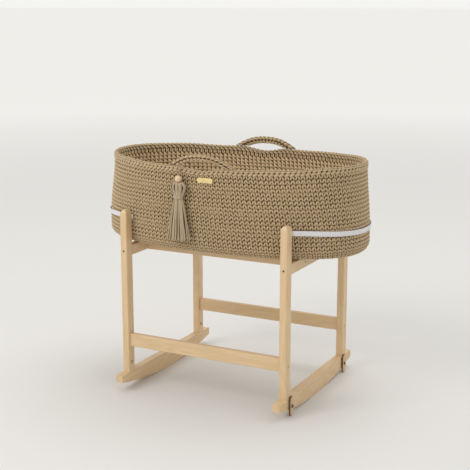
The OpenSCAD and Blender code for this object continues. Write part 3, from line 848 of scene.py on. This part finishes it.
wall_even = even_round(*half_axes(MID_WALL))
rim_even = even_round(*half_axes(BASKET_H))
top_climb = FOOT_RUN + (BASKET_H - RIM_H) - FOOT_H
row_climbs = [top_climb - ROW * (ROWS - k) + ROW_UP for k in range(ROWS)]
outer_rows = [(ROUND, climb, LEAN * k, wall_even) for k, climb in enumerate(row_climbs)]
for part, first in enumerate(range(0, ROWS, ROWS_PER_PIECE)):
    rows = lay(wall, outer_rows[first : first + ROWS_PER_PIECE], vee)
    stands_for = ("basket_wall",) if part == 0 else ()
    put("crochet_wall_outer_%d" % (part + 1), rows, crochet, "basket", stands_for)

inner_rows = []
for k, climb in enumerate(row_climbs):
    if climb > INNER_FROM:
        inner_rows.append((ROUND, climb, -LEAN * k, wall_even))
for part, rows, stitch in (
    ("low", inner_rows[:INNER_LOW], back_vee),
    ("high", inner_rows[INNER_LOW:-1], back_vee),
    ("top", inner_rows[-1:], fence),
):
    put("crochet_wall_inner_" + part, lay(wall, rows, stitch, WALL_T), lining, "basket")

# The base, worked in ovals from its edge to the middle; the outermost make the first piece
base_rows = []
base_ends = RIM_HALF + np.array([BELLY_RIGHT, BELLY_LEFT]) - END_FOOT
base_b = SIDE_HALF - SIDE_FOOT
for k in range(int(base_b // ROW)):
    run_in = ROW * (k + 1)
    ends, b = base_ends - run_in, max(base_b - run_in, LEAST_HALF)
    base_rows.append((int(oval_length(ends, b) / STITCH), -run_in, BASE_LEAN * k, even_round(ends, b)))
outer_base = lay(wall, base_rows[:BASE_OUTER], vee)
put("crochet_base_outer", outer_base, crochet, "basket", ("basket_base",))
put("crochet_base_inner", lay(wall, base_rows[BASE_OUTER:], vee), crochet, "basket")

# The dark core that fills the wall and base between the stitches, painted with the shade seen through them
core_climbs = np.concatenate(
    [
        [-base_b + 2.5],
        np.linspace(-base_b + 12, 0, 14),
        np.linspace(0, FOOT_RUN, 8)[1:],
        np.linspace(FOOT_RUN, top_climb + 6, 12)[1:],
    ]
)
core_loop = np.concatenate([core_climbs, core_climbs[::-1]])
core_outs = np.repeat([CORE_OUT, CORE_IN], len(core_climbs))
core = sheet_grid(wall, CORE_ROUND, core_loop, core_outs, even_round(base_ends, base_b))
put("crochet_wall_shade_core", core, painted_shade_cord, "basket")

# Rim: chain rows over a rounded core painted with shade; each is its place round the section, slope, reach,
# width and slide
rim_rows = [
    (3.6, 0.48, 1.0, 1.35, 0.0),
    (11.4, 0.26, 1.0, 1.25, 0.3),
    (19.6, -0.10, 1.0, 1.1, 0.55),
    (28.0, -0.30, 0.98, 1.2, 0.8),
    (36.0, -0.55, 0.86, 1.3, 0.1),
]
for k, (place, slope, reach, wide, slide) in enumerate(rim_rows):
    row = lay(rim, [(ROUND, place, slide, rim_even)], chain(slope, reach, wide))
    stands_for = ("rim_band",) if k == 0 else ()
    put("rim_chain_%d" % (k + 1), row, crochet_rim, "basket", stands_for)
rim_core_at = np.linspace(-3, rim_run[-1] + 3, RIM_CORE_RINGS)
rim_shade_core = sheet_grid(rim, CORE_ROUND, rim_core_at, np.full(RIM_CORE_RINGS, CORE_OUT), rim_even)
put("rim_shade_core", rim_shade_core, painted_shade_cord, "basket")

# Handles: the same chain rows along an arch; each is its degrees round the section, slope, width and slide
handle_rows = [
    (-36, 0.46, 1.3, 0.5),
    (34, 0.30, 1.35, 0.8),
    (90, 0.0, 1.0, 0.5),
    (146, -0.30, 1.35, 0.8),
    (216, -0.46, 1.3, 0.5),
    (270, 0.0, 1.0, 0.5),
]


def crochet_handle(name, surface):
    """Chain rows along one handle, over its core painted with shade."""
    rows = []
    for degrees, slope, wide, slide in handle_rows:
        at = math.radians(degrees) * HANDLE_R
        rows.append(lay(surface, [(HANDLE_STITCHES, at, slide, None)], chain(slope, 1.0, wide)))
    put("handle_chain_" + name, joined(rows), crochet_rim, "basket", ("handle_" + name,))
    share = np.linspace(0.0, 1.0, 30)
    ring = HANDLE_R * np.linspace(0, 2 * np.pi, 13)[:-1]
    inside = surface(share[:, None], ring[None, :], HANDLE_CORE_OUT, None).reshape(-1, 3)
    shape = (inside, *tube_faces(len(share), len(ring)))
    put("handle_shade_core_" + name, shape, painted_shade_cord, "basket")


crochet_handle("front", handle(1, HANDLE_FRONT, SLOT_SPAN, SLOT_H))
crochet_handle("back", handle(-1, HANDLE_BACK, BACK_SLOT_SPAN, BACK_SLOT_H))

# ---------- Tassel ----------


def spoke(turn):
    """Level direction at an angle."""
    return np.stack([np.cos(turn), np.sin(turn), 0 * turn], -1)


# The cord loop: up through the bead, round the sewn stitch and back down
loop_at = [0, 0.3, 0.44, 0.5, 0.56, 0.7, 1]
loop_x = [-0.9, -1.0, -3.1, 0, 3.1, 1.0, 0.9]
loop_z = [628, 647, 659.5, 664.3, 659.5, 647, 628]
loop = along(np.linspace(0, 1, 40), loop_at, np.stack([loop_x, np.zeros(7), loop_z], -1))
hanging = ribbons((loop + TASSEL)[None], np.array([0, -1.0, 0]), *LOOP_CORD)
put("tassel_hanging_cord", hanging, tassel_yarn, "tassel", ("tassel_loop",))

# The stitch it hangs on, tapered at its outer end
t = np.linspace(0, 1, 12)
stay = np.stack([0 * t + TASSEL[0], STITCH_Y - STITCH_LONG * t, 0 * t + PIVOT_Z], -1)
taper = STITCH_T * np.minimum(1, 3 * (1.02 - t)) ** 0.5
sewn = ribbons(stay[None], np.array([0, 0, 1.0]), taper, taper)
put("tassel_sewn_stitch", sewn, crochet_rim, "basket", ("tassel_stitch",))

# The head: flat cords that part at the middle, swell out and are drawn in at the tie
t = np.linspace(0, 1, 18)
turn = 2 * np.pi * (np.arange(HEAD_CORDS) + 0.5) / HEAD_CORDS + RNG.normal(0, 0.05, HEAD_CORDS)
size = 1 + RNG.normal(0, 0.05, HEAD_CORDS)
fold_at = [0, 0.15, 0.4, 0.7, 1]
out = along(t, fold_at, [2.5, 11.5, 20.5, 18.5, 11.0])[None] * size[:, None]
fold = along(t, fold_at, HEAD_TOP - np.array([4, 0.5, 8, 21, 36]))
down = fold[None] + RNG.normal(0, 0.5, (HEAD_CORDS, 1))
head = np.stack([out * np.cos(turn)[:, None], HEAD_DEEP * out * np.sin(turn)[:, None], down], -1) + TASSEL
away = spoke(turn)[:, None] * np.ones((1, len(t), 1))
folds = ribbons(head, away + np.array([0, 0, 0.6]), *HEAD_CORD)
put("tassel_head_folds", folds, tassel_yarn, "tassel", ("tassel_head",))

# The tie: a cord wound a little over three times
t = np.linspace(0, 1, 110)
turn = 2 * np.pi * TIE_TURNS * t
tie_z = TIE_TOP - 2.2 - TIE_RUN * t
wound = np.stack([TIE_WIDE * np.cos(turn), TIE_DEEP * np.sin(turn), tie_z], -1) + TASSEL
wraps = ribbons(wound[None], spoke(turn)[None], *TIE_CORD)
put("tassel_tie_wraps", wraps, tassel_yarn, "tassel", ("tassel_tie",))

# The skirt: flat cords that fan out and hang with a little wave, every third of them from nearer the middle
t = np.linspace(0, 1, 20)
ring = np.where(np.arange(SKIRT_CORDS) % 3 == 2, 0.55, 1.0)
turn = 2 * np.pi * np.arange(SKIRT_CORDS) * GOLDEN_TURN + RNG.normal(0, 0.05, SKIRT_CORDS)
end = 1 + RNG.normal(0, 0.05, SKIRT_CORDS)
out = (11.0 * ring)[:, None] + (21.5 * ring * end)[:, None] * t[None] ** 0.85
fall = SKIRT_TOP + 5 - SKIRT_LOW - 3.0 - 4.0 * RNG.random(SKIRT_CORDS)[:, None]
drop = SKIRT_TOP + 5 - fall * t[None]
wave = 0.9 * np.sin(2 * np.pi * (1.3 * t[None] + RNG.random((SKIRT_CORDS, 1)))) * t[None]
skirt_x = out * np.cos(turn)[:, None] + wave
skirt_y = SKIRT_DEEP * out * np.sin(turn)[:, None] + 0.4 * wave
skirt = np.stack([skirt_x, skirt_y, drop], -1) + TASSEL
twist = RNG.normal(0, 0.5, SKIRT_CORDS)[:, None] + 0.7 * t[None]
away_x = np.cos(turn)[:, None] + 0.4 * twist
away_y = 1.5 * np.sin(turn)[:, None] - 0.1 * twist
fan = ribbons(skirt, np.stack([away_x, away_y, 0 * twist], -1), *SKIRT_CORD)
put("tassel_skirt_cords", fan, tassel_yarn, "tassel", ("tassel_skirt",))

# ---------- Straps ----------


def strap_line(tail, belly):
    """Line of a strap: straight along the post and off it, then round the oval from where it first touches,
    sinking a little on its way out to the end."""
    a, b = RIM_HALF + belly + STRAP_GAP, SIDE_HALF + STRAP_GAP
    leave = np.array([STRAP_LEAVE_X, STRAP_Y])
    angle = np.radians(48) * (1 - np.linspace(0, 1, 97))
    round_end = np.stack(oval((a, a), b, angle), -1)
    slope = np.arctan2(round_end[:, 1] - leave[1], round_end[:, 0] - leave[0])
    at_post = [[POST_IN_X - tail, STRAP_Y], [POST_X, STRAP_Y], leave]
    half = np.concatenate([at_post, round_end[slope.argmax() :]])
    line = np.concatenate([half, half[-2::-1] * [1, -1]])
    run = np.concatenate([[0], np.cumsum(np.hypot(*np.diff(line, axis=0).T))])
    even = np.linspace(0, run[-1], 150)
    line = np.stack([np.interp(even, run, line[:, k]) for k in (0, 1)], -1)
    z = STRAP_Z - STRAP_DROP * np.maximum(0, (line[:, 0] - leave[0]) / (a - leave[0]))
    return np.column_stack([line, z])


def strap(name, side, tail, belly):
    """Flat webbing of rounded-edge section, upright, carried along its line, with two rows of stitches near
    each post. The left strap is the mirror image of a right one."""
    line = strap_line(tail, belly)
    ahead = np.gradient(line, axis=0)
    ahead /= np.linalg.norm(ahead, axis=1, keepdims=True)
    away = np.cross([0, 0, 1.0], ahead)
    away *= np.sign(away[len(away) // 2, 0])
    rise = np.array([0, 0, 1.0])
    turn = 2 * np.pi * (np.arange(12) + 0.5) / 12
    flat = np.sign(np.cos(turn)) * np.abs(np.cos(turn)) ** 0.35 * STRAP_T / 2
    tall = np.sign(np.sin(turn)) * np.abs(np.sin(turn)) ** 0.75 * STRAP_H / 2
    points = line[:, None] + away[:, None] * flat[None, :, None] + rise * tall[None, :, None]
    quads, corners = tube_faces(len(line), 12)
    marks = []
    s = np.linspace(-SEW_HALF, SEW_HALF, 5)[:, None]
    for end in (-1, 1):
        flip = np.array([1, end, 1])
        for k in range(SEW_COUNT):
            ring = SEW_FROM + SEW_STEP * k
            middle = line[ring] * flip + away[ring] * flip * SEW_OUT
            for low in (-SEW_APART, SEW_APART):
                marks.append(middle + ahead[ring] * flip * s + rise * low)
    stitches = ribbons(np.array(marks), np.array([1.0, 0.0, 0.0]), SEW_T, SEW_T, 6)
    turned = np.array([side, 1, 1])
    if side < 0:
        quads, corners = quads[:, ::-1], corners[:, ::-1]
        stitches = (stitches[0] * turned, stitches[1][:, ::-1], stitches[2][:, ::-1])
    band = (points.reshape(-1, 3) * turned, quads, corners)
    put("strap_band_" + name, band, webbing, "stand", ("strap_" + name,))
    put("strap_sewing_" + name, stitches, thread, "stand")


strap("right", 1, -STRAP_T, BELLY_RIGHT)
strap("left", -1, 4.0, BELLY_LEFT)

# ---------- Mattress ----------


def mattress():
    """Oval pad: rings of a rounded-edge section, crowned by a short cloth simulation, with piping on its two
    edges."""
    low, a, b = BASKET_Z + PAD_Z, PAD_HALF, PAD_SIDE
    angle = np.linspace(0, 2 * np.pi, PAD_AROUND + 1)[:-1]
    turn = np.linspace(-np.pi / 2, np.pi / 2, 15)
    inset = PAD_EDGE * (1 - np.cos(turn))
    z = low + PAD_THICK / 2 + np.sign(np.sin(turn)) * np.abs(np.sin(turn)) ** 0.7 * PAD_THICK / 2
    rings = []
    for inward, height in zip(inset, z):
        x, y = oval((a - inward, a - inward), b - inward, angle)
        rings.append(np.stack([x, y, 0 * x + height], -1))
    for share in np.linspace(0.93, 0.04, 14):
        x, y = oval(((a - PAD_EDGE) * share,) * 2, (b - PAD_EDGE) * share, angle)
        rings.append(np.stack([x, y, 0 * x + low + PAD_THICK], -1))
        rings.insert(0, np.stack([x, y, 0 * x + low], -1))
    points = np.concatenate(rings)
    quads, corners = tube_faces(len(rings), PAD_AROUND)
    shape = (points, quads[:, ::-1], corners[:, ::-1])
    pad = put("mattress_pad", shape, linen, "mattress", ("mattress",))
    remesh = pad.modifiers.new("even mesh", "REMESH")
    remesh.mode = "VOXEL"
    remesh.voxel_size = PAD_VOXEL
    settle(pad, "even mesh")
    rest = coordinates(pad)
    blow = pad.modifiers.new("fill", "CLOTH")
    blow.settings.use_pressure = True
    blow.settings.uniform_pressure_force = PAD_PRESSURE
    blow.settings.effector_weights.gravity = 0.0
    blow.settings.quality = 4
    for step in range(1, PAD_FRAMES + 1):
        bpy.context.scene.frame_set(step)
    settle(pad, "fill")
    bpy.context.scene.frame_set(1)
    moved = coordinates(pad) - rest
    far = np.linalg.norm(moved, axis=1, keepdims=True)
    moved *= np.minimum(1, PAD_SWELL / np.maximum(far, 1e-9))
    place = rest + moved
    place[:, 2] = np.maximum(place[:, 2], low * MM)
    pad.data.vertices.foreach_set("co", place.astype(np.float32).ravel())
    pad.data.polygons.foreach_set("use_smooth", np.ones(len(pad.data.polygons), bool))
    round_off = pad.modifiers.new("soft", "SUBSURF")
    round_off.levels = round_off.render_levels = 1
    place = coordinates(pad) / MM
    loops = []
    for height in (1, -1):
        aim = np.linspace(0, 2 * np.pi, 241)[:-1]
        nx, ny = plan_normal(*oval((a, a), b, aim), (a, a), b)
        toward = np.stack([nx, ny, 0 * nx + 0.9 * height], -1)
        edge = place[(toward @ place.T).argmax(1)]
        for _ in range(6):
            edge = (np.roll(edge, 1, 0) + edge + np.roll(edge, -1, 0)) / 3
        loops.append(edge - toward / np.linalg.norm(toward, axis=1, keepdims=True) * PIPE_IN)
    turn = 2 * np.pi * np.arange(8) / 8
    rope = []
    for edge in loops:
        ahead = np.roll(edge, -1, 0) - np.roll(edge, 1, 0)
        ahead /= np.linalg.norm(ahead, axis=1, keepdims=True)
        side = np.cross(ahead, [0, 0, 1.0])
        level = side[:, None] * np.cos(turn)[None, :, None]
        points = edge[:, None] + PIPE_R * (level + np.array([0, 0, 1.0]) * np.sin(turn)[None, :, None])
        points[:, :, 2] = np.maximum(points[:, :, 2], low)
        quads, corners = tube_faces(len(edge), 8, closed=True)
        rope.append((points.reshape(-1, 3), quads, corners))
    put("mattress_piping", joined(rope), piping, "mattress")


def coordinates(piece):
    """The mesh's vertex places as an array."""
    place = np.zeros(3 * len(piece.data.vertices), np.float32)
    piece.data.vertices.foreach_get("co", place)
    return place.reshape(-1, 3).astype(float)


def settle(piece, modifier):
    """Applies a modifier."""
    with bpy.context.temp_override(object=piece, active_object=piece, selected_objects=[piece]):
        bpy.ops.object.modifier_apply(modifier=modifier)


mattress()

# ---------- Stage, light and camera ----------


def floor():
    """A wide pale floor, one flat sheet that is painted lighter and made to glow a little with distance:
    painted light for the light's spread over the floor.
    """
    mesh = bpy.data.meshes.new("floor")
    half = FLOOR_HALF
    edge = [(-half, -half, 0), (half, -half, 0), (half, half, 0), (-half, half, 0)]
    mesh.from_pydata(edge, [], [(0, 1, 2, 3)])
    sheet = bpy.data.objects.new("floor", mesh)
    bpy.context.scene.collection.objects.link(sheet)
    material, tree, shader, place = blank("pale floor, painted lighter far off")
    cloud = noise(tree, place.outputs["Object"], 1.2, 2)
    measure = tree.nodes.new("ShaderNodeVectorMath")
    measure.operation = "LENGTH"
    tree.links.new(place.outputs["Object"], measure.inputs[0])
    # Painted light: further off, the floor's colour is lighter and it glows a little
    far = spread(tree, measure.outputs["Value"], FLOOR_NEAR, FLOOR_FAR)
    near_tone = mix_colour(tree, cloud, (0.73, 0.72, 0.70), (0.76, 0.75, 0.73))
    tone = mix_colour(tree, far, near_tone, (0.83, 0.82, 0.80))
    painted_far_glow = mix_colour(tree, far, (0.0, 0.0, 0.0), (0.26, 0.256, 0.25))
    tree.links.new(tone, shader.inputs["Base Color"])
    tree.links.new(painted_far_glow, shader.inputs["Emission Color"])
    shader.inputs["Emission Strength"].default_value = 1.0
    shader.inputs["Roughness"].default_value = 0.85
    shader.inputs["Specular IOR Level"].default_value = 0.15
    mesh.materials.append(material)


def lamp(name, place, aim, size, power, colour=(1, 1, 1)):
    """A square area lamp at a place, facing a point."""
    light = bpy.data.lights.new(name, "AREA")
    light.shape = "SQUARE"
    light.size = size
    light.energy = power
    light.color = colour
    holder = bpy.data.objects.new(name, light)
    holder.location = place
    holder.rotation_euler = (Vector(aim) - Vector(place)).to_track_quat("-Z", "Y").to_euler()
    bpy.context.scene.collection.objects.link(holder)


floor()
lamp("key", (-1.6, -3.0, 2.9), (0, 0, 0.45), 1.8, 48.0, (1.0, 0.985, 0.96))
lamp("top", (0.3, 0.8, 3.4), (0, 0, 0.4), 2.2, 34.0)

world = bpy.data.worlds.new("studio")
world.use_nodes = True
sky = world.node_tree
aim = sky.nodes.new("ShaderNodeTexCoord")
split = sky.nodes.new("ShaderNodeSeparateXYZ")
sky.links.new(aim.outputs["Generated"], split.inputs[0])
upward = spread(sky, split.outputs[2], 0.03, 0.30)
sky_tone = mix_colour(sky, upward, (0.91, 0.905, 0.885), (0.72, 0.715, 0.70))
sky.links.new(sky_tone, sky.nodes["Background"].inputs["Color"])
bpy.context.scene.world = world
bpy.context.scene.view_settings.view_transform = "Standard"

camera = bpy.data.cameras.new("camera")
camera.lens = CAMERA_LENS
camera.sensor_width = 36.0
viewer = bpy.data.objects.new("camera", camera)
facing = Vector(CAMERA_AIM).to_track_quat("-Z", "Y").to_matrix().to_4x4()
viewer.matrix_world = Matrix.Translation(CAMERA_PLACE) @ facing
bpy.context.scene.collection.objects.link(viewer)
bpy.context.scene.camera = viewer
